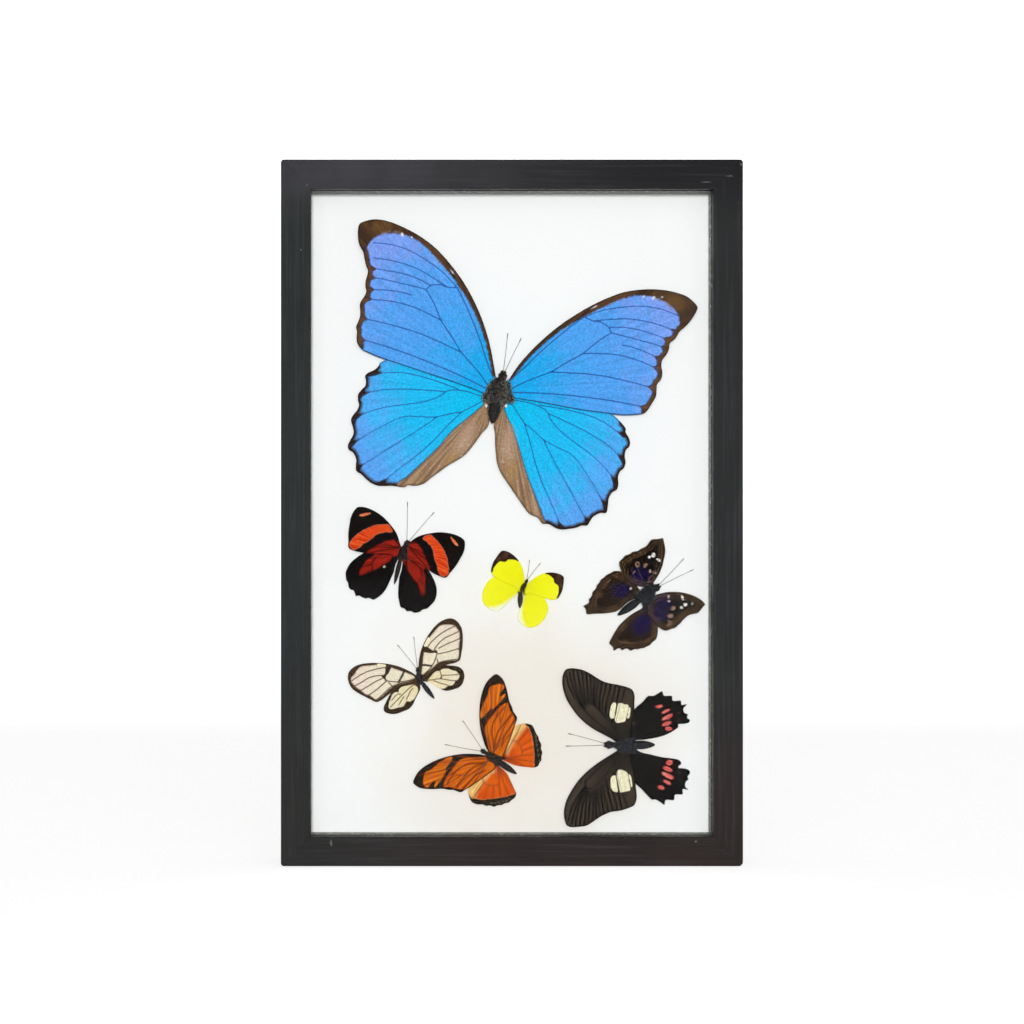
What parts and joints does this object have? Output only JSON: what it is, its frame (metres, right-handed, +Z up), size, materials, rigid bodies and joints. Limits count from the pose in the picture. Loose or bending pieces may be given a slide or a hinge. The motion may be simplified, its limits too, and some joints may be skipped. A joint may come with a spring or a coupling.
{
  "type": "framed insect specimen display",
  "caption": "Deep black wall frame with a white board behind glass, carrying spread butterflies of several kinds.",
  "frame": {"origin": "middle of the bottom face of the frame", "axes": "+Z up the height of the frame, +X to the right as seen from the front, -Y out of the glass towards the viewer"},
  "size_m": [0.17, 0.025, 0.26],
  "materials": {
    "black_paint": "satin black paint",
    "clear_glass": "clear, smooth",
    "spacer_paint": "matt grey paint",
    "white_board": "matt white",
    "brown_board": "smooth brown face",
    "steel_point": "bright, stamped",
    "hanger_brass": "bright",
    "insect_body": "dark, short fur",
    "blue_wing": "metallic blue scales, brown edges",
    "red_wing": "black with an orange band and a crimson base",
    "yellow_wing": "matt yellow scales, brown tips",
    "purple_wing": "dark brown with a purple sheen",
    "glass_wing": "thin cream membrane, dark edges",
    "orange_wing": "tawny orange scales, dark tips",
    "pink_wing": "dark with cream patches and pink spots"
  },
  "bodies": {
    "root": {"rail_top": "black_paint", "rail_bottom": "black_paint", "rail_left": "black_paint", "rail_right": "black_paint", "glass_pane": "clear_glass", "spacer_top": "spacer_paint", "spacer_bottom": "spacer_paint", "spacer_left": "spacer_paint", "spacer_right": "spacer_paint", "mount_board": "white_board", "back_board": "brown_board", "retaining_point_1": "steel_point", "retaining_point_2": "steel_point", "retaining_point_3": "steel_point", "retaining_point_4": "steel_point", "hanger_strap": "hanger_brass", "hanger_ring": "hanger_brass", "hanger_rivet_upper": "hanger_brass", "hanger_rivet_lower": "hanger_brass", "blue_body": "insect_body", "blue_forewing_left": "blue_wing", "blue_forewing_right": "blue_wing", "blue_hindwing_left": "blue_wing", "blue_hindwing_right": "blue_wing", "red_body": "insect_body", "red_forewing_left": "red_wing", "red_forewing_right": "red_wing", "red_hindwing_left": "red_wing", "red_hindwing_right": "red_wing", "yellow_body": "insect_body", "yellow_forewing_left": "yellow_wing", "yellow_forewing_right": "yellow_wing", "yellow_hindwing_left": "yellow_wing", "yellow_hindwing_right": "yellow_wing", "purple_body": "insect_body", "purple_forewing_left": "purple_wing", "purple_forewing_right": "purple_wing", "purple_hindwing_left": "purple_wing", "purple_hindwing_right": "purple_wing", "glass_body": "insect_body", "glass_forewing_left": "glass_wing", "glass_forewing_right": "glass_wing", "glass_hindwing_left": "glass_wing", "glass_hindwing_right": "glass_wing", "orange_body": "insect_body", "orange_forewing_left": "orange_wing", "orange_forewing_right": "orange_wing", "orange_hindwing_left": "orange_wing", "orange_hindwing_right": "orange_wing", "pink_body": "insect_body", "pink_forewing_left": "pink_wing", "pink_forewing_right": "pink_wing", "pink_hindwing_left": "pink_wing", "pink_hindwing_right": "pink_wing"}
  },
  "joints": []
}
